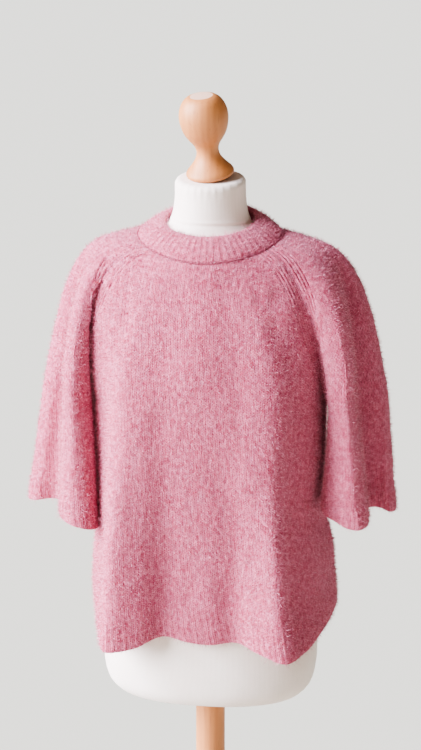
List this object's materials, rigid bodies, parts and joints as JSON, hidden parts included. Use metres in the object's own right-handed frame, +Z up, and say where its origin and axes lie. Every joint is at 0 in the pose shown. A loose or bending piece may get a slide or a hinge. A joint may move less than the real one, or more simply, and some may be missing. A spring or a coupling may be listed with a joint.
{
  "type": "pullover sweater on a dress form",
  "caption": "Half-sleeve raglan pullover in brushed rib-edged knit, hanging in soft folds on a limbless dress form with a turned finial, on a round pole and flat disc base.",
  "frame": {"origin": "middle of the base's underside, on the floor", "axes": "+Z up along the pole, -Y towards the garment's front, +X towards the viewer's right when the front is seen"},
  "size_m": [0.5716, 0.36, 1.5738],
  "materials": {
    "wool": "matt, brushed to a soft pile",
    "jersey": "matt",
    "beech": "waxed satin"
  },
  "bodies": {
    "root": {"front": "wool", "back": "wool", "sleeve_right": "wool", "sleeve_left": "wool", "neckband": "wool", "form_torso": "jersey", "finial": "beech", "pole": "beech", "base": "beech"}
  },
  "joints": []
}
